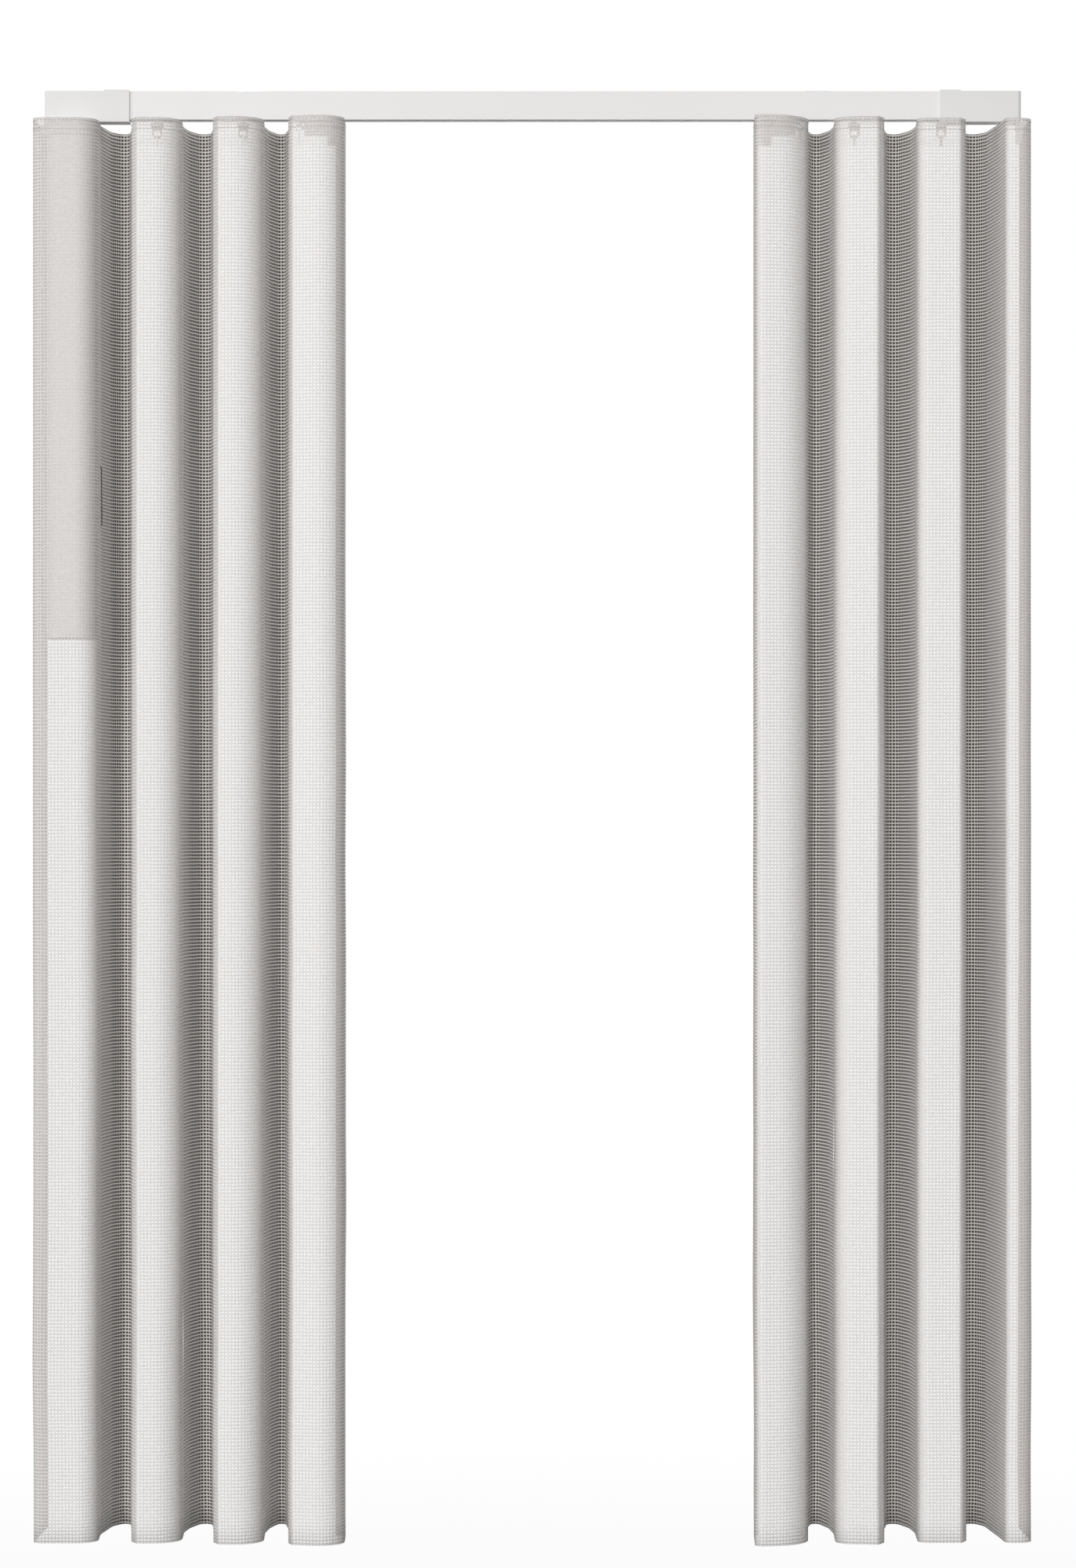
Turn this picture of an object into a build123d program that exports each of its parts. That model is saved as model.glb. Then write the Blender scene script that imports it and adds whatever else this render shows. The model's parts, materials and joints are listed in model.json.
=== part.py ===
from build123d import *
import math
import os

os.makedirs("parts", exist_ok=True)

# Motorised curtain track with two hung sheer panels, in millimetres.
# X runs along the track, -Y faces the room and +Z is up.
# The origin is the middle of the ceiling plane that the track is screwed to.

# Track profile
track_length = 1200.0
rail_end_setback = 76.0
rail_width = 18.0
rail_height = 35.0
rail_wall = 1.3
rail_edge_radius = 0.8
ceiling_gap = 1.5
groove_mouth = 9.0
groove_height = 3.5
belt_room_height = 13.1
mid_slot = 5.0
bottom_slot = 6.0

# Clearances
slip = 0.1
play = 0.3
shaft_play = 0.04
shaft_way = 1.0

# End housings and their covers
drive_housing_length = 104.0
idler_housing_length = 100.0
housing_depth = 24.0
housing_wall = 1.8
housing_underside = 3.0
drive_collar_length = 31.0
idler_collar_length = 26.0
housing_end_radius = 5.0
housing_edge = 1.0
cover_thickness = 2.0
boss_width = 5.4
boss_inset = 6.0
boss_offset = 6.6

# Belt and pulleys
pulley_radius = 5.7
pulley_teeth = 14
tooth_share = 0.6
tooth_depth = 0.8
pulley_flange_radius = 7.5
pulley_flange = 0.9
belt_thickness = 1.2
belt_height = 8.0
idler_inset = 28.0
idler_axle_radius = 2.0
yoke_plate = 1.8
yoke_web = 3.0
yoke_half_length = 9.0
tension_screw_radius = 2.0
tension_head_radius = 3.5
tension_head_height = 3.0

# Drive shaft and bearings
shaft_radius = 3.0
bearing_wall = 2.2
bearing_height = 4.0
shaft_in_gearbox = 8.0

# Motor
motor_offset = 32.6
motor_width = 62.0
motor_corner = 24.0
motor_wall = 2.2
motor_length = 634.5
collar_width = 68.0
collar_corner = 26.0
collar_height = 18.0
case_in_collar = 9.0
top_cap_thickness = 4.0
bottom_cap_thickness = 6.0
inside_chamfer = 20.0
spigot_height = 4.0
gearbox_radius = 22.0
gearbox_height = 56.0
motor_can_radius = 18.0
motor_can_height = 62.0
rotor_radius = 5.0
rotor_length = 24.0
rotor_shaft_radius = 1.5
pinion_radius = 3.2
pinion_height = 7.0
bulkhead = 3.0
chassis_rail_width = 12.0
chassis_rail = 2.4
cell_radius = 9.25
cell_height = 65.0
cell_pitch = 19.2
round_facets = 40
cells_from_bottom = 55.0
board_width = 36.0
board_height = 120.0
board_thickness = 1.6
board_offset = 9.0
chip_size = 14.0
chip_height = 30.0
radio_size = 22.0
radio_height = 75.0

# Button and charge port in the motor's underside
button_radius = 3.0
button_offset = 15.0
button_travel = 0.8
button_stand_out = 0.8
button_flange_radius = 4.2
button_flange = 1.0
port_width = 9.0
port_height = 3.3
port_wall = 0.4
port_depth = 5.0
port_length = 10.0
tongue_setback = 1.0
tongue_thickness = 0.8

# Aerial wire and its bush
aerial_height = -460.5
aerial_radius = 0.65
aerial_facets = 12
bush_radius = 3.2
bush_flange_radius = 4.2
bush_flange = 0.8
bush_recess = 2.0
bush_recess_radius = 1.6
bush_tail = 1.0
aerial_route = [
    (-1.2, 0.0, 0.0),
    (2.4, 0.0, -0.1),
    (4.9, 0.1, -2.8),
    (5.05, 0.3, -9.8),
    (5.2, 0.7, -23.8),
    (5.3, 1.4, -49.8),
    (5.3, 2.4, -74.7),
]

# Carriers, each at a distance from its end of the track
left_carrier_insets = [137.5, 243.4]
right_carrier_insets = [97.3, 204.4]
wheel_radius = 4.5
wheel_thickness = 2.6
wheel_gap = 7.4
wheel_facets = 16
axle_radius = 1.0
axle_facets = 8
hub_length = 12.0
hub_depth = 5.0
hub_above_axle = 4.0
neck_length = 7.0
neck_depth = 4.0
cap_drop = 3.5
cap_length = 15.0
cap_depth = 12.0
cap_height = 4.3
cap_corner = 1.5
eyelet_width = 13.0
eyelet_thickness = 3.2
eyelet_hole_radius = 4.0
eyelet_drop = 7.6

# Strip hooks between the eyelets and the ribbons of the cloth
hook_width = 2.4
hook_thickness = 1.5
hook_front_leg = 6.0
hook_back_leg = 12.0

# Lead carriers
lead_setback = 2.5
tab_length = 21.5
tab_rise = 2.5
tab_drop = 26.5
stud_width = 5.0
stud_drop = 21.0
arm_length = 29.0
arm_height = 14.3
arm_thickness = 6.0
ring_reach = 6.5
ring_radius = 4.6
ring_hole_radius = 3.0
ring_drop = 5.0
truck_length = 40.0
truck_wheelbase = 28.0
riser_length = 20.0
riser_depth = 3.4
clamp_length = 20.0
clamp_depth = 7.4
clamp_lip = 0.9

# Return hooks at the outer ends
return_hook_depth = 8.0
return_bar_width = 8.0
return_bar_height = 25.5
return_bar_inset = 6.0
return_lug_height = 11.5
return_lug_drop = 1.5

# Ceiling clips in the track's top groove
clip_spacing = 700.0
clip_length = 30.0
clip_neck_depth = 6.0
clip_foot_depth = 12.4
clip_foot_height = 2.6
clip_hole_radius = 2.3

# Cloth: each front fold has its outer corner, its inner corner and their radii
# A corner is its distance in from that end of the track, and its place across the track
cloth_top = -42.5
cloth_bottom = -1777.0
cloth_thickness = 0.6
ribbon_height = 12.0
ribbon_drop = 12.5
seam_depth = 10.0
back_depth_top = 66.0
back_depth_bottom = 84.0
left_folds = [
    ((-7.7, -64.0), (66.5, -64.0), (15.0, 20.0)),
    ((109.0, -66.0), (172.0, -66.0), (20.0, 20.0)),
    ((210.0, -72.0), (272.0, -78.0), (14.0, 24.0)),
    ((301.5, -76.0), (371.5, -90.0), (22.0, 16.0)),
]
right_folds = [
    ((-8.7, -61.0), (23.5, -61.0), (9.0, 10.0)),
    ((73.2, -61.0), (131.6, -61.0), (14.0, 14.0)),
    ((171.7, -74.0), (232.0, -68.0), (16.0, 22.0)),
    ((263.5, -78.0), (330.5, -88.0), (26.0, 14.0)),
]
left_flank = (70.7, -10.0)
left_flank_back = 73.0
right_flank = (27.7, -10.0)
right_flank_back = 34.0
flank_radius = 150.0
left_back_radii = [16.0, 17.0, 13.0]
right_back_radii = [17.0, 17.0, 14.0]
return_end = (-4.0, 46.0)
lead_edge_length = 12.0
lead_edge_radius = 5.0
lead_edge_lean = 2.0

# Heights and places that follow from the sizes above
half_length = track_length / 2
rail_top = -ceiling_gap
rail_bottom = rail_top - rail_height
rail_half = half_length - rail_end_setback
room_half = rail_width / 2 - rail_wall
groove_floor = rail_top - rail_wall - groove_height
belt_room_top = groove_floor - rail_wall
mid_web_top = belt_room_top - belt_room_height
roller_room_top = mid_web_top - rail_wall
ledge_top = rail_bottom + rail_wall
housing_bottom = rail_bottom - housing_underside
housing_inside_top = rail_top - housing_wall
cover_top = housing_bottom + cover_thickness
motor_x = -half_length + motor_offset
idler_x = half_length - idler_inset
belt_inside = pulley_radius + play
belt_outside = belt_inside + belt_thickness
belt_middle = (belt_room_top + mid_web_top) / 2
belt_top = belt_middle + belt_height / 2
belt_low = belt_middle - belt_height / 2
pulley_half = belt_height / 2 + play + pulley_flange
axle_height = ledge_top + play + wheel_radius
cap_top = rail_bottom - cap_drop
cap_low = cap_top - cap_height
eye_height = cap_low - eyelet_drop
collar_low = housing_bottom - collar_height
case_top = collar_low + case_in_collar
case_low = housing_bottom - motor_length
cap_plate_top = case_low + bottom_cap_thickness
inside_width = motor_width - 2 * motor_wall
inside_corner = motor_corner - motor_wall
gearbox_top = case_top - top_cap_thickness
gearbox_low = gearbox_top - gearbox_height
can_low = gearbox_low - motor_can_height
cells_low = case_low + cells_from_bottom
cells_top = cells_low + cell_height
top_bearing = housing_inside_top
lower_bearing = case_top + bearing_height + play
motor_side = motor_x + motor_width / 2
bearing_radius = shaft_radius + shaft_play + bearing_wall
hook_inside = eyelet_thickness / 2 + play
ribbon_front = hook_inside + hook_thickness + play


def block(x_low, x_high, y_low, y_high, z_low, z_high):
    """A box between two corners."""
    place = Pos((x_low + x_high) / 2, (y_low + y_high) / 2, (z_low + z_high) / 2)
    return place * Box(x_high - x_low, y_high - y_low, z_high - z_low)


def post(x, y, z_low, z_high, radius):
    """An upright cylinder."""
    return Pos(x, y, (z_low + z_high) / 2) * Cylinder(radius, z_high - z_low)


def rod_along_x(x_low, x_high, y, z, radius):
    """A cylinder along the track."""
    return Pos((x_low + x_high) / 2, y, z) * Rot(0, 90, 0) * Cylinder(radius, x_high - x_low)


def rod_along_y(x, y_low, y_high, z, radius):
    """A cylinder across the track."""
    return Pos(x, (y_low + y_high) / 2, z) * Rot(90, 0, 0) * Cylinder(radius, y_high - y_low)


def faceted_post(x, y, z_low, z_high, radius, sides):
    """An upright prism with a many-sided section, for small or hidden round pieces."""
    return Pos(x, y, z_low) * extrude(RegularPolygon(radius, sides), z_high - z_low)


def faceted_rod(x, y_low, y_high, z, radius, sides):
    """The same across the track."""
    return Pos(x, y_low, z) * Rot(-90, 0, 0) * extrude(RegularPolygon(radius, sides), y_high - y_low)


def inside_plate(z_low, z_high):
    """A plate with cut corners that fits in the motor case."""
    half = inside_width / 2 - slip
    plate = block(motor_x - half, motor_x + half, -half, half, z_low, z_high)
    return chamfer(plate.edges().filter_by(Axis.Z), inside_chamfer)


def rounded_prism(x, width, corner, z_low, z_high):
    """An upright prism with a square section of rounded corners."""
    return Pos(x, 0, z_low) * extrude(RectangleRounded(width, width, corner), z_high - z_low)


def inset_x(side, inset):
    """The place along the track at a distance in from its left (-1) or right (1) end."""
    return side * (half_length - inset)


def write(name, shape):
    """Writes one named piece."""
    export_step(shape, os.path.join("parts", name + ".step"))


def track_rail():
    """Two-storey extrusion: top groove, belt room, slotted web, roller room and bottom slot."""
    middle = (rail_top + rail_bottom) / 2
    profile = Pos(0, middle) * RectangleRounded(rail_width, rail_height, rail_edge_radius)
    rooms = [
        (groove_mouth, rail_top, rail_top - rail_wall),
        (2 * room_half, rail_top - rail_wall, groove_floor),
        (2 * room_half, belt_room_top, mid_web_top),
        (mid_slot, mid_web_top, roller_room_top),
        (2 * room_half, roller_room_top, ledge_top),
        (bottom_slot, ledge_top, rail_bottom),
    ]
    for width, top, low in rooms:
        profile -= Pos(0, (top + low) / 2) * Rectangle(width, top - low)
    return Pos(-rail_half, 0, 0) * extrude(Plane.YZ * profile, 2 * rail_half)


def ceiling_clips():
    """Two clips with a foot under the groove's lips, a neck in its mouth and a screw hole."""
    clips = Part()
    for x in (-clip_spacing / 2, clip_spacing / 2):
        low = x - clip_length / 2
        high = x + clip_length / 2
        foot_top = rail_top - rail_wall - slip
        foot_half = clip_foot_depth / 2
        neck_half = clip_neck_depth / 2
        foot = block(low, high, -foot_half, foot_half, foot_top - clip_foot_height, foot_top)
        neck = block(low, high, -neck_half, neck_half, foot_top, 0)
        clip = foot + neck
        clip -= post(x, 0, foot_top - clip_foot_height, 0, clip_hole_radius)
        clips += clip
    return clips


def housing(side, length, collar_length):
    """Shell round the track's end, open below, with a raised collar where the track goes in."""
    outer = side * half_length
    mouth = side * (half_length - length)
    collar_end = mouth + side * collar_length
    half = housing_depth / 2
    low, high = sorted((outer, mouth))
    shell = block(low, high, -half, half, housing_bottom, rail_top)
    ends = shell.edges().filter_by(Axis.Z).sort_by(Axis.X)
    outer_edges = ends[-2:] if side > 0 else ends[:2]
    shell = fillet(outer_edges, housing_end_radius)
    low, high = sorted((mouth, collar_end))
    collar = block(low, high, -half, half, housing_bottom, 0)
    shell += chamfer(collar.edges().filter_by(Axis.X).group_by(Axis.Z)[-1], housing_edge)
    inside = half - housing_wall
    rail_end = side * (rail_half + slip)
    low, high = sorted((rail_end, outer - side * housing_wall))
    shell -= block(low, high, -inside, inside, housing_bottom, housing_inside_top)
    fit = rail_width / 2 + slip
    low, high = sorted((mouth, rail_end))
    shell -= block(low, high, -fit, fit, rail_bottom - slip, rail_top)
    slot = bottom_slot / 2 + slip
    shell -= block(low, high, -slot, slot, housing_bottom, rail_bottom)
    boss_x = outer - side * (housing_wall + boss_inset)
    half = boss_width / 2
    for y in (-boss_offset, boss_offset):
        shell += block(boss_x - half, boss_x + half, y - half, y + half, cover_top, housing_inside_top)
    return shell


def drive_housing():
    """Left housing, with the boss under its roof that the drive shaft's top end turns in."""
    shell = housing(-1, drive_housing_length, drive_collar_length)
    boss_low = top_bearing - bearing_height
    boss = faceted_post(motor_x, 0, boss_low, top_bearing, bearing_radius, round_facets)
    return shell + boss - post(motor_x, 0, boss_low, top_bearing, shaft_radius + shaft_play)


def idler_housing():
    """Right housing, with two rails under its roof that the tension yoke slides against."""
    shell = housing(1, idler_housing_length, idler_collar_length)
    yoke_top = belt_middle + pulley_half + play + yoke_plate
    for y in (-belt_inside, belt_inside):
        shell += block(
            idler_x - yoke_half_length,
            idler_x + yoke_half_length + yoke_web,
            y - housing_wall / 2,
            y + housing_wall / 2,
            yoke_top,
            housing_inside_top,
        )
    return shell


def cover(side):
    """Bottom plate of a housing, let in between its walls."""
    outer = side * (half_length - housing_wall - slip)
    inner = side * (rail_half + 2 * slip)
    low, high = sorted((outer, inner))
    half = housing_depth / 2 - housing_wall - slip
    return block(low, high, -half, half, housing_bottom, cover_top)


def drive_cover():
    """Bottom plate of the left housing, with the hole that the drive shaft comes through."""
    plate = cover(-1)
    return plate - post(motor_x, 0, housing_bottom, cover_top, shaft_radius + shaft_way)


def drive_belt():
    """Endless belt round both pulleys, one run at the front and one at the back of the belt room."""
    middle = (motor_x + idler_x) / 2
    span = idler_x - motor_x
    outline = SlotCenterToCenter(span, 2 * belt_outside) - SlotCenterToCenter(span, 2 * belt_inside)
    return Pos(middle, 0, belt_low) * extrude(outline, belt_height)


def pulley(x, bore):
    """Toothed belt pulley with a flange above and below the belt."""
    pitch = 2 * math.pi / pulley_teeth
    corners = []
    for tooth in range(pulley_teeth):
        for share in (0, tooth_share):
            angle = (tooth + share) * pitch
            radii = (pulley_radius - tooth_depth, pulley_radius)
            for radius in radii if share == 0 else reversed(radii):
                corners.append((radius * math.cos(angle), radius * math.sin(angle)))
    low = belt_middle - pulley_half
    high = belt_middle + pulley_half
    body = Pos(x, 0, low) * extrude(make_face(Polyline(*corners, close=True)), high - low)
    for bottom in (low, high - pulley_flange):
        body += faceted_post(x, 0, bottom, bottom + pulley_flange, pulley_flange_radius, round_facets)
    return body - post(x, 0, low, high, bore)


def drive_shaft():
    """Round shaft from the gearbox up through both bearings and the drive pulley."""
    low = gearbox_top - shaft_in_gearbox
    return post(motor_x, 0, low, top_bearing - play, shaft_radius)


def shaft_bearing():
    """Plain bush in the socket collar."""
    low = lower_bearing - bearing_height
    bush = post(motor_x, 0, low, lower_bearing, bearing_radius)
    return bush - post(motor_x, 0, low, lower_bearing, shaft_radius + shaft_play)


def idler_yoke():
    """Fork that carries the idler axle above and below the pulley and is pulled by the screw."""
    top = belt_middle + pulley_half + play + yoke_plate
    low = belt_middle - pulley_half - play - yoke_plate
    half = belt_outside
    web = idler_x + yoke_half_length
    yoke = block(idler_x - yoke_half_length, web + yoke_web, -half, half, low, top)
    yoke -= block(idler_x - yoke_half_length, web, -half, half, low + yoke_plate, top - yoke_plate)
    yoke -= post(idler_x, 0, low, top, idler_axle_radius + shaft_play)
    yoke -= rod_along_x(web, web + yoke_web, 0, belt_middle, tension_screw_radius + shaft_play)
    return yoke


def idler_axle():
    """Fixed pin of the idler pulley."""
    reach = pulley_half + play + yoke_plate
    return post(idler_x, 0, belt_middle - reach, belt_middle + reach, idler_axle_radius)


def tension_screw():
    """Screw from the housing's end wall to the yoke."""
    wall = half_length - housing_wall
    head_low = wall - tension_head_height
    head = rod_along_x(head_low, wall, 0, belt_middle, tension_head_radius)
    tip = idler_x + yoke_half_length
    return head + rod_along_x(tip, head_low, 0, belt_middle, tension_screw_radius)


def motor_collar():
    """Socket under the left housing that the motor case is held in."""
    body = rounded_prism(motor_x, collar_width, collar_corner, collar_low, housing_bottom)
    pocket_corner = motor_corner + slip
    body -= rounded_prism(motor_x, motor_width + 2 * slip, pocket_corner, collar_low, case_top)
    body -= post(motor_x, 0, lower_bearing, housing_bottom, shaft_radius + shaft_way)
    return body - post(motor_x, 0, case_top, lower_bearing, bearing_radius + shaft_play)


def motor_case():
    """Long tube with a rounded square section and the hole of the aerial bush."""
    tube = rounded_prism(motor_x, motor_width, motor_corner, cap_plate_top, case_top)
    tube -= rounded_prism(motor_x, inside_width, inside_corner, cap_plate_top, case_top)
    hole_low = motor_side - motor_wall - bush_tail
    return tube - rod_along_x(hole_low, motor_side, 0, aerial_height, bush_radius + shaft_play)


def motor_top_cap():
    """Plate that closes the top of the case and carries the gearbox."""
    plate = inside_plate(gearbox_top, case_top)
    return plate - post(motor_x, 0, gearbox_top, case_top, shaft_radius + shaft_way)


def motor_bottom_cap():
    """Bottom plate with a spigot in the case, the button's hole and the charge port's mouth."""
    plate = rounded_prism(motor_x, motor_width, motor_corner, case_low, cap_plate_top)
    spigot_top = cap_plate_top + spigot_height
    plate += inside_plate(cap_plate_top, spigot_top)
    plate -= post(motor_x + button_offset, 0, case_low, spigot_top, button_radius + shaft_play)
    half_x = port_width / 2 + slip
    half_y = port_height / 2 + slip
    return plate - block(motor_x - half_x, motor_x + half_x, -half_y, half_y, case_low, spigot_top)


def setting_button():
    """Round push button with a flange that keeps it in the bottom cap."""
    x = motor_x + button_offset
    spigot_top = cap_plate_top + spigot_height
    stem = post(x, 0, case_low - button_stand_out, spigot_top + slip, button_radius)
    flange_top = spigot_top + slip + button_flange
    return stem + faceted_post(x, 0, spigot_top + slip, flange_top, button_flange_radius, round_facets)


def charge_port():
    """Flat socket with a tongue, its mouth level with the bottom cap."""
    half_x = port_width / 2
    half_y = port_height / 2
    body = block(motor_x - half_x, motor_x + half_x, -half_y, half_y, case_low, case_low + port_length)
    inner_x = half_x - port_wall
    inner_y = half_y - port_wall
    depth = case_low + port_depth
    body -= block(motor_x - inner_x, motor_x + inner_x, -inner_y, inner_y, case_low, depth)
    tongue_x = inner_x - tongue_setback
    tongue_y = tongue_thickness / 2
    tongue_low = case_low + tongue_setback
    return body + block(motor_x - tongue_x, motor_x + tongue_x, -tongue_y, tongue_y, tongue_low, depth)


def gearbox_case():
    """Sealed gearbox under the top cap, open to the drive shaft above and the pinion below."""
    body = faceted_post(motor_x, 0, gearbox_low, gearbox_top, gearbox_radius, round_facets)
    shaft_low = gearbox_top - shaft_in_gearbox - play
    body -= post(motor_x, 0, shaft_low, gearbox_top, shaft_radius + shaft_play)
    return body - post(motor_x, 0, gearbox_low, gearbox_low + pinion_height + play, pinion_radius + play)


def dc_motor():
    """Motor can with the bore that the rotor turns in."""
    body = faceted_post(motor_x, 0, can_low, gearbox_low, motor_can_radius, round_facets)
    return body - post(motor_x, 0, can_low, gearbox_low, rotor_radius + play)


def motor_rotor():
    """Rotor core on its shaft, with the pinion inside the gearbox."""
    middle = (can_low + gearbox_low) / 2
    half = rotor_length / 2
    core = faceted_post(motor_x, 0, middle - half, middle + half, rotor_radius, round_facets)
    pinion_low = gearbox_low + play
    shaft = faceted_post(motor_x, 0, can_low + play, pinion_low, rotor_shaft_radius, wheel_facets)
    pinion_top = gearbox_low + pinion_height
    return core + shaft + faceted_post(motor_x, 0, pinion_low, pinion_top, pinion_radius, wheel_facets)


def inner_chassis():
    """Three bulkheads on two side rails: under the motor can, over the cells and under the cells."""
    frame = Part()
    width = inside_width - 2 * slip
    for top in (can_low, cells_top + bulkhead, cells_low):
        frame += inside_plate(top - bulkhead, top)
    half = chassis_rail_width / 2
    for side in (-1, 1):
        y_low, y_high = sorted((side * (width / 2 - chassis_rail), side * width / 2))
        frame += block(motor_x - half, motor_x + half, y_low, y_high, cells_low - bulkhead, can_low)
    stop_low = cap_plate_top + spigot_height + slip + button_flange + button_travel + slip
    stop_x = motor_x + button_offset
    edge = chassis_rail
    return frame + block(stop_x - edge, stop_x + edge, -edge, edge, stop_low, cells_low - bulkhead)


def battery_cells():
    """Four round cells between the lower bulkheads."""
    cells = Part()
    low = cells_low + slip
    high = cells_top - slip
    for x in (-cell_pitch / 2, cell_pitch / 2):
        for y in (-cell_pitch / 2, cell_pitch / 2):
            cells += faceted_post(motor_x + x, y, low, high, cell_radius, round_facets)
    return cells


def control_board():
    """Circuit board standing on the bulkhead over the cells, beside the aerial bush."""
    low = cells_top + bulkhead
    x = motor_x + board_offset
    half = board_width / 2
    board = block(x, x + board_thickness, -half, half, low, low + board_height)
    face = x + board_thickness
    for size, height in ((chip_size, chip_height), (radio_size, radio_height)):
        edge = size / 2
        middle = low + height
        board += block(face, face + board_thickness, -edge, edge, middle - edge, middle + edge)
    return board


def aerial_bush():
    """Flanged bush in the case wall with a recess that the wire comes out of."""
    inner = motor_side - motor_wall - bush_tail
    bush = rod_along_x(inner, motor_side, 0, aerial_height, bush_radius)
    bush += rod_along_x(motor_side, motor_side + bush_flange, 0, aerial_height, bush_flange_radius)
    mouth = motor_side + bush_flange
    return bush - rod_along_x(mouth - bush_recess, mouth, 0, aerial_height, bush_recess_radius)


def aerial_points():
    """The wire's route, from the bottom of the bush's recess to its free end."""
    return [Vector(motor_side + x, y, aerial_height + z) for x, y, z in aerial_route]


def aerial_radii(points):
    """Each corner's radius: 0.45 of the shorter run, over the tangent of half the turn."""
    radii = []
    for before, corner, after in zip(points, points[1:], points[2:]):
        run_in = corner - before
        run_out = after - corner
        half_turn = math.radians(run_in.get_angle(run_out)) / 2
        radii.append(0.45 * min(run_in.length, run_out.length) / math.tan(half_turn))
    return radii


def aerial_wire():
    """Thin wire aerial that hangs free beside the motor."""
    points = aerial_points()
    radii = aerial_radii(points)
    path = FilletPolyline(*points, radius=radii)
    section = Plane(origin=path @ 0, z_dir=path % 0) * RegularPolygon(aerial_radius, aerial_facets)
    wire = sweep(section, path=path)
    print("aerial radii", [round(radius, 2) for radius in radii])
    print("aerial length", round(path.length, 2))
    print("aerial volume", round(wire.volume, 3), "expected", round(section.area * path.length, 3))
    return wire


def carrier(x):
    """Carrier: hub in the roller room, neck in the slot, flat cap and a round eyelet."""
    hub_half = hub_depth / 2
    hub_low = ledge_top + play
    hub_high = axle_height + hub_above_axle
    body = block(x - hub_length / 2, x + hub_length / 2, -hub_half, hub_half, hub_low, hub_high)
    neck_half = neck_depth / 2
    body += block(x - neck_length / 2, x + neck_length / 2, -neck_half, neck_half, cap_top, hub_low)
    half = cap_depth / 2
    cap = block(x - cap_length / 2, x + cap_length / 2, -half, half, cap_low, cap_top)
    body += chamfer(cap.edges().filter_by(Axis.Z), cap_corner)
    half = eyelet_thickness / 2
    eye_radius = eyelet_width / 2
    body += block(x - eye_radius, x + eye_radius, -half, half, eye_height, cap_low)
    body += rod_along_y(x, -half, half, eye_height, eye_radius)
    body -= rod_along_y(x, -half, half, eye_height, eyelet_hole_radius)
    return body - rod_along_y(x, -hub_half, hub_half, axle_height, axle_radius + shaft_play)


def wheelset(x):
    """Axle with a wheel at each end, running on the ledges beside the bottom slot."""
    near = wheel_gap / 2
    far = near + wheel_thickness
    wheels = faceted_rod(x, -near, near, axle_height, axle_radius, axle_facets)
    for inner, outer in ((-far, -near), (near, far)):
        wheels += faceted_rod(x, inner, outer, axle_height, wheel_radius, wheel_facets)
    return wheels


def strip_hook(x, centre, radius):
    """Bent strip over the lower rim of an eye: a short leg in front, a long one behind."""
    rise = radius - math.sqrt(radius ** 2 - (hook_width / 2) ** 2)
    top = centre - radius + rise + slip
    points = [
        (-hook_inside, top - hook_front_leg),
        (-hook_inside, top),
        (hook_inside, top),
        (hook_inside, top - hook_back_leg),
    ]
    path = Polyline(*points).wire()
    strip = path.offset_2d(hook_thickness, kind=Kind.INTERSECTION, side=Side.LEFT)
    return Pos(x - hook_width / 2, 0, 0) * extrude(Plane.YZ * make_face(strip), hook_width)


def carrier_hook(x):
    """Strip hook in a carrier's eyelet."""
    return strip_hook(x, eye_height, eyelet_hole_radius)


def lead_carrier(end, side):
    """Long truck with two axles, a riser to the belt, an arm, a tab at the lead end and a ring."""
    tab_end = end + side * tab_length
    arm_end = tab_end + side * arm_length
    truck_x = (tab_end + arm_end) / 2
    half = hub_depth / 2
    low = ledge_top + play
    truck_half = truck_length / 2
    top = axle_height + hub_above_axle
    body = block(truck_x - truck_half, truck_x + truck_half, -half, half, low, top)
    half = neck_depth / 2
    body += block(truck_x - truck_half, truck_x + truck_half, -half, half, cap_top, low)
    half = riser_depth / 2
    riser_half = riser_length / 2
    riser_top = belt_low - play - clamp_lip
    body += block(truck_x - riser_half, truck_x + riser_half, -half, half, top, riser_top)
    half = arm_thickness / 2
    x_low, x_high = sorted((tab_end, arm_end))
    body += block(x_low, x_high, -half, half, cap_top - arm_height, cap_top)
    x_low, x_high = sorted((end, tab_end))
    body += block(x_low, x_high, -half, half, cap_top - tab_drop, cap_top + tab_rise)
    stud_x = (end + tab_end) / 2
    stud_half = stud_width / 2
    stud_top = cap_top - stud_drop + stud_half
    stud_end = ribbon_front - play
    body += block(stud_x - stud_half, stud_x + stud_half, half, stud_end, stud_top - stud_width, stud_top)
    ring_x = arm_end + side * ring_reach
    half = eyelet_thickness / 2
    ring_z = cap_top - ring_drop
    x_low, x_high = sorted((arm_end, ring_x))
    body += block(x_low, x_high, -half, half, ring_z - half, ring_z + half)
    body += rod_along_y(ring_x, -half, half, ring_z, ring_radius)
    body -= rod_along_y(ring_x, -half, half, ring_z, ring_hole_radius)
    for x in (truck_x - truck_wheelbase / 2, truck_x + truck_wheelbase / 2):
        body -= rod_along_y(x, -hub_depth / 2, hub_depth / 2, axle_height, axle_radius + shaft_play)
    return body


def lead_middle(end, side):
    """Middle of a lead carrier's truck along the track."""
    return end + side * (tab_length + arm_length / 2)


def lead_hook(end, side):
    """Strip hook in a lead carrier's ring."""
    ring_x = end + side * (tab_length + arm_length + ring_reach)
    return strip_hook(ring_x, cap_top - ring_drop, ring_hole_radius)


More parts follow.
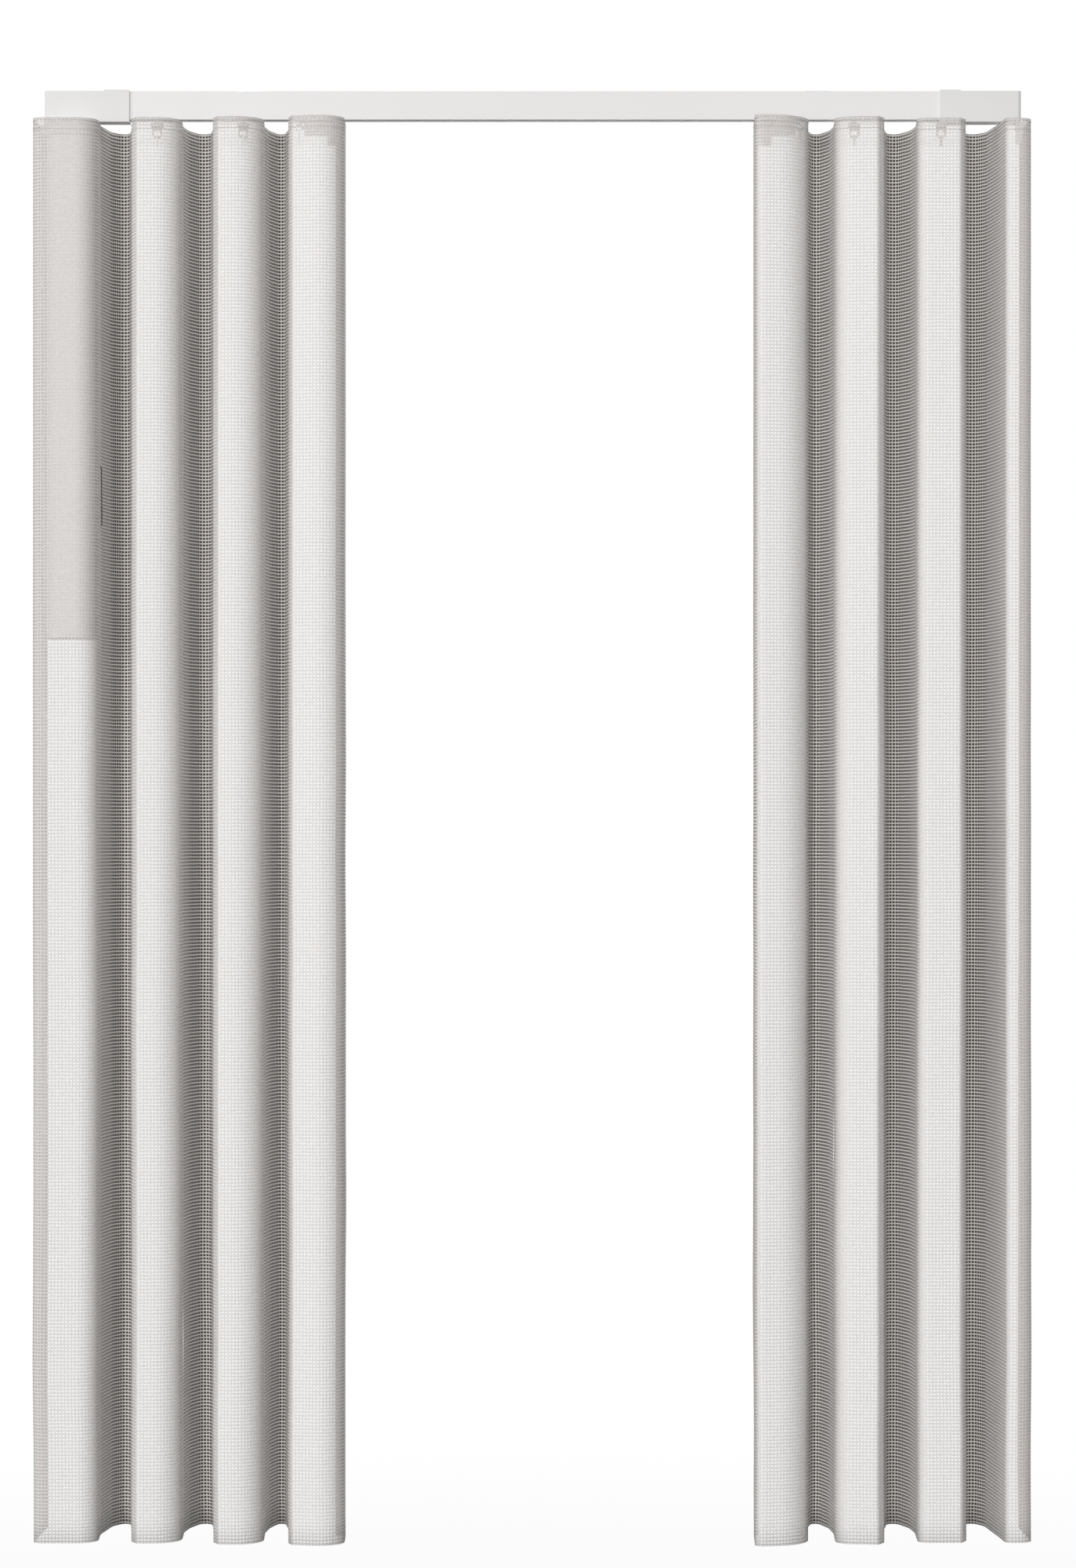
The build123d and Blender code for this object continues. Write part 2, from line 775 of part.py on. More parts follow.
def belt_clamp(end, side):
    """Block on the riser that grips one run of the belt between two lips."""
    middle = lead_middle(end, side)
    low = belt_low - play - clamp_lip
    high = belt_top + play + clamp_lip
    face = belt_inside - play
    lip_reach = belt_outside
    half = clamp_length / 2
    near = face - clamp_depth
    y_low, y_high = sorted((side * near, side * face))
    clamp = block(middle - half, middle + half, y_low, y_high, low, high)
    y_low, y_high = sorted((side * face, side * lip_reach))
    clamp += block(middle - half, middle + half, y_low, y_high, low, low + clamp_lip)
    return clamp + block(middle - half, middle + half, y_low, y_high, high - clamp_lip, high)


def return_inset(fold, depth):
    """How far in the cloth of a return stands at a depth, on the inside of its wall."""
    front = fold[0]
    share = (depth - front[1]) / (return_end[1] - front[1])
    return front[0] + share * (return_end[0] - front[0]) + cloth_thickness + play


def left_return_hook():
    """Pad on the socket collar that the left panel's return is hooked to."""
    half = return_hook_depth / 2
    outer = inset_x(-1, return_inset(left_folds[0], half))
    inner = motor_x - collar_width / 2
    low = cap_top - return_lug_drop - return_lug_height
    return block(outer, inner, -half, half, low, cap_top - return_lug_drop)


def right_return_hook():
    """Bar under the right housing with a lug that reaches the right panel's return."""
    half = return_hook_depth / 2
    bar_low = half_length - return_bar_inset
    bar_high = bar_low + return_bar_width
    low = housing_bottom - return_bar_height
    bar = block(bar_low, bar_high, -half, half, low, housing_bottom)
    outer = inset_x(1, return_inset(right_folds[0], half))
    top = housing_bottom - return_lug_drop
    return bar + block(bar_high, outer, -half, half, top - return_lug_height, top)


def cloth(side, corners, radii):
    """Folded strip of cloth, ruled from its top edge to its deeper folds at the bottom."""
    faces = []
    for height, depth in ((cloth_top, back_depth_top), (cloth_bottom, back_depth_bottom)):
        points = [(inset_x(side, inset), depth if y == "back" else y, height) for inset, y in corners]
        path = FilletPolyline(*points, radius=radii)
        inner_side = Side.LEFT if side < 0 else Side.RIGHT
        faces.append(make_face(path.wire().offset_2d(cloth_thickness, side=inner_side)))
    return loft(faces, ruled=True)


def ribbon(side, outer, inner):
    """Narrow band across the open back of a front fold, where its hook holds it."""
    low, high = sorted((inset_x(side, outer + cloth_thickness), inset_x(side, inner)))
    top = cloth_top - ribbon_drop
    return block(low, high, ribbon_front, ribbon_front + cloth_thickness, top - ribbon_height, top)


def panel(side, folds, flank, flank_back, back_radii):
    """A panel's three stretches: round the track's end, the middle, and the free lead edge."""
    first, second, third, lead = folds
    seam = (second[1][0], seam_depth)
    next_seam = (third[1][0], seam_depth)
    outer = cloth(
        side,
        [
            return_end,
            *first[:2],
            flank,
            (flank_back, "back"),
            (second[0][0], "back"),
            *second[:2],
            seam,
        ],
        [*first[2], flank_radius, back_radii[0], back_radii[0], *second[2]],
    )
    outer += ribbon(side, second[0][0], second[1][0] - cloth_thickness)
    middle = cloth(
        side,
        [seam, (seam[0], "back"), (third[0][0], "back"), *third[:2], next_seam],
        [back_radii[1], back_radii[1], *third[2]],
    )
    middle += ribbon(side, third[0][0], third[1][0] - cloth_thickness)
    edge_y = -arm_thickness / 2 - play
    edge_inset = lead[1][0] - lead_edge_lean
    free = cloth(
        side,
        [
            next_seam,
            (next_seam[0], "back"),
            (lead[0][0], "back"),
            *lead[:2],
            (edge_inset, edge_y),
            (edge_inset - lead_edge_length, edge_y),
        ],
        [back_radii[2], back_radii[2], *lead[2], lead_edge_radius],
    )
    return outer, middle, free + ribbon(side, lead[0][0], lead[1][0] - lead_setback)


write("track_rail", track_rail())
write("ceiling_clips", ceiling_clips())
write("drive_housing", drive_housing())
write("drive_cover", drive_cover())
write("idler_housing", idler_housing())
write("idler_cover", cover(1))
write("drive_belt", drive_belt())
write("drive_pulley", pulley(motor_x, shaft_radius + shaft_play / 2))
write("drive_shaft", drive_shaft())
write("shaft_bearing", shaft_bearing())
write("idler_pulley", pulley(idler_x, idler_axle_radius + shaft_play))
write("idler_axle", idler_axle())
write("idler_yoke", idler_yoke())
write("tension_screw", tension_screw())
write("motor_collar", motor_collar())
write("motor_case", motor_case())
write("motor_top_cap", motor_top_cap())
write("motor_bottom_cap", motor_bottom_cap())
write("gearbox_case", gearbox_case())
write("dc_motor", dc_motor())
write("motor_rotor", motor_rotor())
write("inner_chassis", inner_chassis())
write("battery_cells", battery_cells())
write("control_board", control_board())
write("charge_port", charge_port())
write("setting_button", setting_button())
write("aerial_bush", aerial_bush())
write("aerial_wire", aerial_wire())
write("left_return_hook", left_return_hook())
write("right_return_hook", right_return_hook())

for hand, side, insets in (("left", -1, left_carrier_insets), ("right", 1, right_carrier_insets)):
    for number, inset in enumerate(insets, start=1):
        place = inset_x(side, inset)
        write(f"{hand}_carrier_{number}", carrier(place))
        write(f"{hand}_hook_{number}", carrier_hook(place))
        write(f"{hand}_wheels_{number}", wheelset(place))

for hand, side, folds in (("left", -1, left_folds), ("right", 1, right_folds)):
    end = inset_x(side, folds[-1][1][0] - lead_setback)
    write(f"{hand}_lead_carrier", lead_carrier(end, side))
    write(f"{hand}_lead_hook", lead_hook(end, side))
    write(f"{hand}_belt_clamp", belt_clamp(end, side))
    axles = lead_middle(end, side)
    write(f"{hand}_lead_wheels_outer", wheelset(axles + side * truck_wheelbase / 2))
    write(f"{hand}_lead_wheels_inner", wheelset(axles - side * truck_wheelbase / 2))

left_stretches = panel(-1, left_folds, left_flank, left_flank_back, left_back_radii)
right_stretches = panel(1, right_folds, right_flank, right_flank_back, right_back_radii)
for hand, stretches in (("left", left_stretches), ("right", right_stretches)):
    for name, stretch in zip(("outer", "middle", "lead"), stretches):
        write(f"{hand}_panel_{name}", stretch)
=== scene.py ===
import json
import math

import bmesh
import bpy
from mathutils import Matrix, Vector

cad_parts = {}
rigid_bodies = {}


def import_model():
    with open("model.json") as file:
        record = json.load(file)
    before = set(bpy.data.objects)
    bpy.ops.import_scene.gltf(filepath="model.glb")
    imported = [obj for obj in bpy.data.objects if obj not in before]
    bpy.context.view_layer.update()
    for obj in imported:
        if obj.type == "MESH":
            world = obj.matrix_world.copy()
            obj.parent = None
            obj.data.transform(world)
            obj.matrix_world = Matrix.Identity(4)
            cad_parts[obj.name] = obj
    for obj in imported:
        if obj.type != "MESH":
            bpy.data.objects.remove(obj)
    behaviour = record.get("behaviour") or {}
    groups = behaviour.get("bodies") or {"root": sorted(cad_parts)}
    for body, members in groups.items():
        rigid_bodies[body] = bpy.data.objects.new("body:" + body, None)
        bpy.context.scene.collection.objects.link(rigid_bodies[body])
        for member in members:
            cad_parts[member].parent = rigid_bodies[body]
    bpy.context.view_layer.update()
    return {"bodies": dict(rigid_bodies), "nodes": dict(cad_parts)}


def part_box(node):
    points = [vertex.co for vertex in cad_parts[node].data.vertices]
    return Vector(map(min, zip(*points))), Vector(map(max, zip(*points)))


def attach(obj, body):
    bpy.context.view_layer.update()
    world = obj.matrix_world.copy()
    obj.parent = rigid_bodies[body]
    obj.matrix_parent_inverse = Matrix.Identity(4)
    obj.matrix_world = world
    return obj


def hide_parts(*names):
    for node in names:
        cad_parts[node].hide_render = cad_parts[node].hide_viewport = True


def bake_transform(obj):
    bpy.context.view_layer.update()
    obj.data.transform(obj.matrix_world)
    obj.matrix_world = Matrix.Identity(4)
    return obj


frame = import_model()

# Camera and studio.
# The view is level and square on, through a long lens shifted a little up, as the photograph has it.
# World and floor look white to the eye but light the track dimly, and the paper floor keeps its shadow.

camera_place = (0.0062, -5.308, -0.9097)
focal_length = 99.0
film_height = 36.0
upward_shift = 0.0295
far_limit = 60.0
ambient = 0.52
floor_height = -1.97
floor_half = 6.0
paper_shades = (0.26, 0.3)
glow_under_track = 0.94
glow_distances = (2.0, 2.9)
lamp_aim = Vector((0, 0, -0.8))
# The key lamp stands far to the left, so that the right flanks of folds and motor lie in soft shade.
lamps = {  # place and width in metres, power in watts
    "key_lamp": ((-12.2, -11.6, 1.1), 5.6, 680.0),
    "front_lamp": ((-3.6, -15.6, -0.6), 3.4, 790.0),
    "back_lamp": ((0.8, 4.2, 0.4), 2.4, 80.0),
}


def linear(colour):
    """An sRGB hex colour as linear red, green, blue and alpha."""
    parts = [int(colour[start:start + 2], 16) / 255 for start in (1, 3, 5)]
    return [part / 12.92 if part <= 0.04045 else ((part + 0.055) / 1.055) ** 2.4 for part in parts] + [1.0]


def add(tree, kind, sockets=None, **settings):
    """Adds one node to a tree, with its settings, and sets or links its sockets by name or number."""
    made = tree.nodes.new(kind)
    for name, value in settings.items():
        setattr(made, name, value)
    for key, value in (sockets or {}).items():
        if isinstance(value, bpy.types.NodeSocket):
            tree.links.new(value, made.inputs[key])
        else:
            made.inputs[key].default_value = value
    return made


scene = bpy.context.scene
scene.view_settings.view_transform = "Standard"

lens = bpy.data.cameras.new("track_camera")
lens.sensor_fit = "VERTICAL"
lens.sensor_height = film_height
lens.lens = focal_length
lens.shift_y = upward_shift
lens.clip_end = far_limit
camera = bpy.data.objects.new("track_camera", lens)
camera.location = camera_place
camera.rotation_euler = (math.radians(90), 0, 0)
scene.collection.objects.link(camera)
scene.camera = camera

world = bpy.data.worlds.new("white_studio")
world.use_nodes = True
scene.world = world
air = world.node_tree
air.nodes.clear()
path = add(air, "ShaderNodeLightPath")
seen = add(air, "ShaderNodeMath", {0: path.outputs["Is Camera Ray"], 1: path.outputs["Is Glossy Ray"]},
           operation="MAXIMUM")
seen = add(air, "ShaderNodeMath", {0: seen.outputs[0], 1: path.outputs["Is Transmission Ray"]},
           operation="MAXIMUM")
dim = add(air, "ShaderNodeBackground", {"Color": linear("#fffdfb"), "Strength": ambient})
white = add(air, "ShaderNodeBackground", {"Color": linear("#ffffff"), "Strength": 1.0})
both = add(air, "ShaderNodeMixShader", {0: seen.outputs[0], 1: dim.outputs[0], 2: white.outputs[0]})
add(air, "ShaderNodeOutputWorld", {"Surface": both.outputs[0]})

paper = bpy.data.materials.new("matt_white_paper_floor")
paper.use_nodes = True
tree = paper.node_tree
tree.nodes.clear()
path = add(tree, "ShaderNodeLightPath")
fibres = add(tree, "ShaderNodeTexNoise", {"Scale": 400.0, "Detail": 2.0})
dull = add(tree, "ShaderNodeMapRange", {0: fibres.outputs[0], 3: paper_shades[0], 4: paper_shades[1]})
body = add(tree, "ShaderNodeBsdfDiffuse", {"Color": dull.outputs[0]})
glow = add(tree, "ShaderNodeEmission", {"Color": linear("#ffffff"), "Strength": 1.0})
spot = add(tree, "ShaderNodeTexCoord")
away = add(tree, "ShaderNodeVectorMath", {0: spot.outputs["Object"]}, operation="LENGTH")
away = add(tree, "ShaderNodeMapRange", {0: away.outputs["Value"], 1: glow_distances[0], 2: glow_distances[1],
                                        3: glow_under_track, 4: 1.0})
share = add(tree, "ShaderNodeMath", {0: path.outputs["Is Camera Ray"], 1: away.outputs[0]},
            operation="MULTIPLY")
both = add(tree, "ShaderNodeMixShader", {0: share.outputs[0], 1: body.outputs[0], 2: glow.outputs[0]})
add(tree, "ShaderNodeOutputMaterial", {"Surface": both.outputs[0]})

corners = [(-floor_half, -floor_half, floor_height), (floor_half, -floor_half, floor_height),
           (floor_half, floor_half, floor_height), (-floor_half, floor_half, floor_height)]
mesh = bpy.data.meshes.new("studio_floor")
mesh.from_pydata(corners, [], [(0, 1, 2, 3)])
mesh.materials.append(paper)
floor = bpy.data.objects.new("studio_floor", mesh)
scene.collection.objects.link(floor)

for name, (place, width, power) in lamps.items():
    lamp = bpy.data.lights.new(name, "AREA")
    lamp.shape = "SQUARE"
    lamp.size = width
    lamp.energy = power
    holder = bpy.data.objects.new(name, lamp)
    holder.location = place
    holder.rotation_euler = (lamp_aim - Vector(place)).to_track_quat("-Z", "Y").to_euler()
    scene.collection.objects.link(holder)

# Aerial of the motor.
# A thin limp stranded wire in grey vinyl, which leaves the motor's side through a bush and hangs beside it.
# The vinyl gives a soft narrow highlight along it.

aerial_diameter = 0.0013
aerial_route = [
    (-0.5376, 0.0, -0.4605),
    (-0.5340, 0.0, -0.4606),
    (-0.5315, 0.0001, -0.4633),
    (-0.53135, 0.0003, -0.4703),
    (-0.5312, 0.0007, -0.4843),
    (-0.5311, 0.0014, -0.5103),
    (-0.5311, 0.0024, -0.5352),
]


def new_material(name):
    """A material with an empty tree, its shader and the object's own coordinates."""
    made = bpy.data.materials.new(name)
    made.use_nodes = True
    tree = made.node_tree
    tree.nodes.clear()
    shader = add(tree, "ShaderNodeBsdfPrincipled")
    add(tree, "ShaderNodeOutputMaterial", {"Surface": shader.outputs[0]})
    place = add(tree, "ShaderNodeTexCoord")
    return made, tree, shader, place.outputs["Object"]


def feed(tree, shader, **sockets):
    """Sets or links the shader's sockets, with underscores for the spaces in their names."""
    for key, value in sockets.items():
        socket = shader.inputs[key.replace("_", " ")]
        if isinstance(value, bpy.types.NodeSocket):
            tree.links.new(value, socket)
        else:
            socket.default_value = value


def mottled(tree, place, light, dark, per_metre):
    """A colour that drifts between two near tones, in patches counted along a metre of surface."""
    cloud = add(tree, "ShaderNodeTexNoise", {"Vector": place, "Scale": per_metre, "Detail": 3.0})
    tone = add(tree, "ShaderNodeMix", {0: cloud.outputs[0], 6: linear(light), 7: linear(dark)},
               data_type="RGBA")
    return tone.outputs[2]


def grained(tree, place, per_metre, depth, strength):
    """A fine bump with grains counted along a metre of surface, and their depth in metres."""
    grain = add(tree, "ShaderNodeTexNoise", {"Vector": place, "Scale": per_metre, "Detail": 2.0})
    bump = add(tree, "ShaderNodeBump", {"Height": grain.outputs[0], "Distance": depth, "Strength": strength})
    return bump.outputs[0]


def plain_material(name, light, dark, patches, grains, depth, strength=0.4, **settings):
    """A material of two near tones, with its patches and its fine grains counted along a metre."""
    made, tree, shader, place = new_material(name)
    feed(tree, shader, Base_Color=mottled(tree, place, light, dark, patches),
         Normal=grained(tree, place, grains, depth, strength), **settings)
    return made


vinyl = plain_material("grey_vinyl_wire", "#5b5856", "#4e4b49", patches=300.0, grains=2500.0, depth=0.00003,
                       Roughness=0.42)

line = bpy.data.curves.new("aerial_cord", "CURVE")
line.dimensions = "3D"
line.bevel_depth = aerial_diameter / 2
line.bevel_resolution = 5
line.resolution_u = 10
line.use_fill_caps = True
spline = line.splines.new("NURBS")
spline.points.add(len(aerial_route) - 1)
for point, route in zip(spline.points, aerial_route):
    point.co = (*route, 1.0)
spline.order_u = 3
spline.use_endpoint_u = True
line.materials.append(vinyl)
aerial = bpy.data.objects.new("aerial_cord", line)
scene.collection.objects.link(aerial)
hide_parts("aerial_wire")
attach(aerial, "track_frame")

# Hung panels.
# Six widths of open plain weave polyester voile, joined edge to edge inside the folds and sewn to a tape.
# They hang in deep round folds. The white yarn scatters light, and what stands behind shows between it.
# Shade is painted on them: the gaps between the yarns darken on the flanks and in the hollows.

cloth_top = -0.0425
cloth_drop = 1.7345
cloth_thickness = 0.0006
cloth_step = 0.003
hang_rows = 60
bend_steps = 12
depth_gain = 84 / 66 - 1  # the folds reach 66 mm behind the track at the top and 84 mm at the hem
sway = 0.0012
drift_per_metre = 4.0
drift_gain = 4.0  # the drift strays about a quarter from its middle
fold_side_depth = 0.04  # past this depth the cloth counts wholly as a front or a back fold

yarn_pitch = 0.0042  # the real yarns lie about 0.8 mm apart, drawn coarser so that they show
upright_gap = 0.72  # this and the next two are shares of half the pitch
level_gap = 0.6
yarn_edge = 0.14
wander_per_metre = 90.0
wander_reach = 0.0009
slub_per_metre = 240.0
edge_on_yarn = 0.25
square_to_view = 0.9
painted_shade_inside_front = 0.12  # what is left of the painted shade inside a front fold
soaked_share = 0.2  # the share of its cover with which the cloth throws shade

# Where the painted shade and the thicker cover start and end, told by the curl of the cloth, which is
# -1 on a fold's outer face, 0 on its flanks and 1 on the face inside its hollow.
outer_face = -0.97
flank_face = -0.25
full_painted_shade = 0.3
hollow_back = 0.9

# How much gaps and yarns cover on a fold's outer face and on its flanks, and what a hollow's back adds.
gap_cover = (0.26, 0.72, 0.24)
yarn_cover = (0.7, 0.88, 0.09)

voile, tree, shader, place = new_material("white_polyester_voile")
own = add(tree, "ShaderNodeUVMap", uv_map="UVMap")
wander = add(tree, "ShaderNodeTexNoise", {"Vector": own.outputs[0], "Scale": wander_per_metre, "Detail": 2.0})
wander = add(tree, "ShaderNodeVectorMath", {0: wander.outputs["Color"], 3: wander_reach}, operation="SCALE")
woven = add(tree, "ShaderNodeVectorMath", {0: own.outputs[0], 1: wander.outputs[0]}, operation="ADD")
ways = add(tree, "ShaderNodeSeparateXYZ", {0: woven.outputs[0]})
yarns = []
for way, gap in (("X", upright_gap), ("Y", level_gap)):
    swing = add(tree, "ShaderNodeMath", {0: ways.outputs[way], 1: yarn_pitch / 2}, operation="PINGPONG")
    thin = yarn_pitch / 2 * (gap - yarn_edge)
    full = yarn_pitch / 2 * (gap + yarn_edge)
    yarn = add(tree, "ShaderNodeMapRange", {0: swing.outputs[0], 1: thin, 2: full},
               interpolation_type="SMOOTHSTEP")
    yarns.append(yarn.outputs[0])
# The upright yarns crowd together where the cloth turns edge-on, and are drawn fainter there.
facing = add(tree, "ShaderNodeNewGeometry")
facing = add(tree, "ShaderNodeSeparateXYZ", {0: facing.outputs["True Normal"]})
square_on = add(tree, "ShaderNodeMath", {0: facing.outputs["Y"]}, operation="ABSOLUTE")
upright = add(tree, "ShaderNodeMapRange",
              {0: square_on.outputs[0], 1: 0.0, 2: square_to_view, 3: edge_on_yarn, 4: 1.0})
upright = add(tree, "ShaderNodeMath", {0: yarns[0], 1: upright.outputs[0]}, operation="MULTIPLY")
weave = add(tree, "ShaderNodeMath", {0: upright.outputs[0], 1: yarns[1]}, operation="MAXIMUM")
weave.label = "yarns"
front = add(tree, "ShaderNodeAttribute", attribute_name="front").outputs["Fac"]
side = add(tree, "ShaderNodeMapRange", {0: front, 3: -1.0, 4: 1.0})
curl = add(tree, "ShaderNodeMath", {0: side.outputs[0], 1: facing.outputs["Y"]}, operation="MULTIPLY")
# Painted shade: none on a fold's outer face, rising over its flanks to the full inside its hollow.
hollow = add(tree, "ShaderNodeMapRange", {0: curl.outputs[0], 1: outer_face, 2: full_painted_shade})
turned = add(tree, "ShaderNodeMapRange", {0: curl.outputs[0], 1: outer_face, 2: flank_face})
deep = add(tree, "ShaderNodeMapRange", {0: curl.outputs[0], 1: 0.0, 2: hollow_back})
# A front fold is open to the light from behind, so the face inside it gets little of the painted shade.
front_fold_inside = add(tree, "ShaderNodeMath", {0: deep.outputs[0], 1: front}, operation="MULTIPLY")
front_fold_inside = add(tree, "ShaderNodeMapRange", {0: front_fold_inside.outputs[0], 3: 1.0, 4: painted_shade_inside_front})
shade = add(tree, "ShaderNodeMath", {0: hollow.outputs[0], 1: front_fold_inside.outputs[0]}, operation="MULTIPLY")
shade.label = "shade between the yarns in the hollows"
slub = add(tree, "ShaderNodeTexNoise", {"Vector": own.outputs[0], "Scale": slub_per_metre, "Detail": 1.0})
yarn_out_of_painted_shade = add(tree, "ShaderNodeMix", {0: slub.outputs[0], 6: linear("#f4f2f1"), 7: linear("#e8e4e2")},
                 data_type="RGBA")
yarn_in_painted_shade = add(tree, "ShaderNodeMix", {0: slub.outputs[0], 6: linear("#ffffff"), 7: linear("#f4ece5")},
                data_type="RGBA")
# Painted shade turns the gaps from near white to dark brown grey; the yarn there is painted a little whiter.
yarn_tone = add(tree, "ShaderNodeMix",
                {0: shade.outputs[0], 6: yarn_out_of_painted_shade.outputs[2], 7: yarn_in_painted_shade.outputs[2]}, data_type="RGBA")
gap_tone_with_painted_shade = add(tree, "ShaderNodeMix", {0: shade.outputs[0], 6: linear("#fbf8f6"), 7: linear("#4c433b")},
               data_type="RGBA")
tone = add(tree, "ShaderNodeMix", {0: weave.outputs[0], 6: gap_tone_with_painted_shade.outputs[2], 7: yarn_tone.outputs[2]},
           data_type="RGBA")
covers = []
for straight, flank, back in (gap_cover, yarn_cover):
    part = add(tree, "ShaderNodeMapRange", {0: turned.outputs[0], 3: straight, 4: flank})
    part = add(tree, "ShaderNodeMath", {0: deep.outputs[0], 1: back, 2: part.outputs[0]},
               operation="MULTIPLY_ADD", use_clamp=True)
    covers.append(part.outputs[0])
cover = add(tree, "ShaderNodeMix", {0: weave.outputs[0], 2: covers[0], 3: covers[1]}, data_type="FLOAT")
ray = add(tree, "ShaderNodeLightPath")
soak = add(tree, "ShaderNodeMath", {0: ray.outputs["Is Shadow Ray"], 1: ray.outputs["Is Diffuse Ray"]},
           operation="MAXIMUM")
soak = add(tree, "ShaderNodeMapRange", {0: soak.outputs[0], 3: 1.0, 4: soaked_share})
soak.label = "light that soaks through the yarn"
cover = add(tree, "ShaderNodeMath", {0: cover.outputs[0], 1: soak.outputs[0]}, operation="MULTIPLY")
bump = add(tree, "ShaderNodeBump", {"Height": weave.outputs[0], "Distance": 0.0007, "Strength": 0.6})
feed(tree, shader, Base_Color=tone.outputs[2], Alpha=cover.outputs[0], Roughness=0.85, Normal=bump.outputs[0],
     Sheen_Weight=0.15, Specular_IOR_Level=0.2)


def node_tree(name, inputs, output):
    """A geometry tree with named inputs and one output, and the sockets that its inputs give."""
    tree = bpy.data.node_groups.new(name, "GeometryNodeTree")
    for title, kind in inputs.items():
        tree.interface.new_socket(title, in_out="INPUT", socket_type="NodeSocket" + kind)
    tree.interface.new_socket(output, in_out="OUTPUT", socket_type="NodeSocketGeometry")
    return tree, add(tree, "NodeGroupInput").outputs


def close_tree(tree, geometry, material, output):
    """Ends a geometry tree in one real mesh that wears the given material."""
    whole = add(tree, "GeometryNodeRealizeInstances", {0: geometry})
    whole = add(tree, "GeometryNodeSetMaterial", {"Geometry": whole.outputs[0], "Material": material})
    add(tree, "NodeGroupOutput", {output: whole.outputs[0]})


def rounded_plan(tree, plan):
    """The line of the folds seen from above, with each corner rounded by its own bend."""
    line = add(tree, "GeometryNodeMeshToCurve", {"Mesh": plan})
    bend = add(tree, "GeometryNodeInputNamedAttribute", {"Name": "bend"}, data_type="FLOAT")
    line = add(tree, "GeometryNodeFilletCurve",
               {"Curve": line.outputs[0], "Count": bend_steps, "Radius": bend.outputs[0],
                "Limit Radius": True}, mode="POLY")
    return line.outputs[0]


drape, given = node_tree("hung_cloth", {
    "Plan": "Geometry", "Drop": "Float", "Step": "Float", "Rows": "Int", "Depth gain": "Float",
    "Sway": "Float", "Seed": "Float", "Material": "Material"}, "Cloth")
plan = rounded_plan(drape, given["Plan"])
plan = add(drape, "GeometryNodeResampleCurve", {"Curve": plan, "Length": given["Step"]}, mode="LENGTH")
plan = add(drape, "GeometryNodeSetCurveNormal", {"Curve": plan.outputs[0]}, mode="Z_UP")
run = add(drape, "GeometryNodeSplineParameter")
plan = add(drape, "GeometryNodeStoreNamedAttribute",
           {"Geometry": plan.outputs[0], "Name": "across", "Value": run.outputs["Length"]},
           data_type="FLOAT", domain="POINT")
low_end = add(drape, "ShaderNodeCombineXYZ", {"Y": given["Drop"]})
hang = add(drape, "GeometryNodeCurvePrimitiveLine", {"Start": (0, 0, 0), "End": low_end.outputs[0]})
hang = add(drape, "GeometryNodeResampleCurve", {"Curve": hang.outputs[0], "Count": given["Rows"]},
           mode="COUNT")
run = add(drape, "GeometryNodeSplineParameter")
hang = add(drape, "GeometryNodeStoreNamedAttribute",
           {"Geometry": hang.outputs[0], "Name": "down", "Value": run.outputs["Length"]},
           data_type="FLOAT", domain="POINT")
cloth = add(drape, "GeometryNodeCurveToMesh", {"Curve": plan.outputs[0], "Profile Curve": hang.outputs[0]})
across = add(drape, "GeometryNodeInputNamedAttribute", {"Name": "across"}, data_type="FLOAT")
down = add(drape, "GeometryNodeInputNamedAttribute", {"Name": "down"}, data_type="FLOAT")
# The folds reach further back the lower they hang, and the cloth wanders a little off its line.
where = add(drape, "GeometryNodeInputPosition")
where = add(drape, "ShaderNodeSeparateXYZ", {0: where.outputs[0]})
height = add(drape, "ShaderNodeMath", {0: cloth_top, 1: down.outputs[0]}, operation="SUBTRACT")
share = add(drape, "ShaderNodeMath", {0: down.outputs[0], 1: given["Drop"]}, operation="DIVIDE")
gain = add(drape, "ShaderNodeMath", {0: share.outputs[0], 1: given["Depth gain"], 2: 1.0},
           operation="MULTIPLY_ADD")
behind = add(drape, "ShaderNodeMath", {0: where.outputs["Y"], 1: 0.0}, operation="MAXIMUM")
behind = add(drape, "ShaderNodeMath", {0: behind.outputs[0], 1: gain.outputs[0]}, operation="MULTIPLY")
before = add(drape, "ShaderNodeMath", {0: where.outputs["Y"], 1: 0.0}, operation="MINIMUM")
depth = add(drape, "ShaderNodeMath", {0: behind.outputs[0], 1: before.outputs[0]}, operation="ADD")
spot = add(drape, "ShaderNodeCombineXYZ",
           {"X": where.outputs["X"], "Y": depth.outputs[0], "Z": height.outputs[0]})
drift = add(drape, "ShaderNodeCombineXYZ",
            {"X": across.outputs[0], "Y": given["Seed"], "Z": height.outputs[0]})
drift = add(drape, "ShaderNodeTexNoise",
            {"Vector": drift.outputs[0], "Scale": drift_per_metre, "Detail": 1.0})
drift = add(drape, "ShaderNodeVectorMath", {0: drift.outputs["Color"], 1: (0.5, 0.5, 0.5)},
            operation="SUBTRACT")
reach = add(drape, "ShaderNodeMath", {0: given["Sway"], 1: share.outputs[0]}, operation="MULTIPLY")
reach = add(drape, "ShaderNodeMath", {0: reach.outputs[0], 1: drift_gain}, operation="MULTIPLY")
drift = add(drape, "ShaderNodeVectorMath", {0: drift.outputs[0], 3: reach.outputs[0]}, operation="SCALE")
drift = add(drape, "ShaderNodeVectorMath", {0: drift.outputs[0], 1: (1.0, 1.0, 0.0)}, operation="MULTIPLY")
spot = add(drape, "ShaderNodeVectorMath", {0: spot.outputs[0], 1: drift.outputs[0]}, operation="ADD")
cloth = add(drape, "GeometryNodeSetPosition", {"Geometry": cloth.outputs[0], "Position": spot.outputs[0]})
where = add(drape, "GeometryNodeInputPosition")
where = add(drape, "ShaderNodeSeparateXYZ", {0: where.outputs[0]})
near = add(drape, "ShaderNodeMapRange", {0: where.outputs["Y"], 1: fold_side_depth, 2: -fold_side_depth})
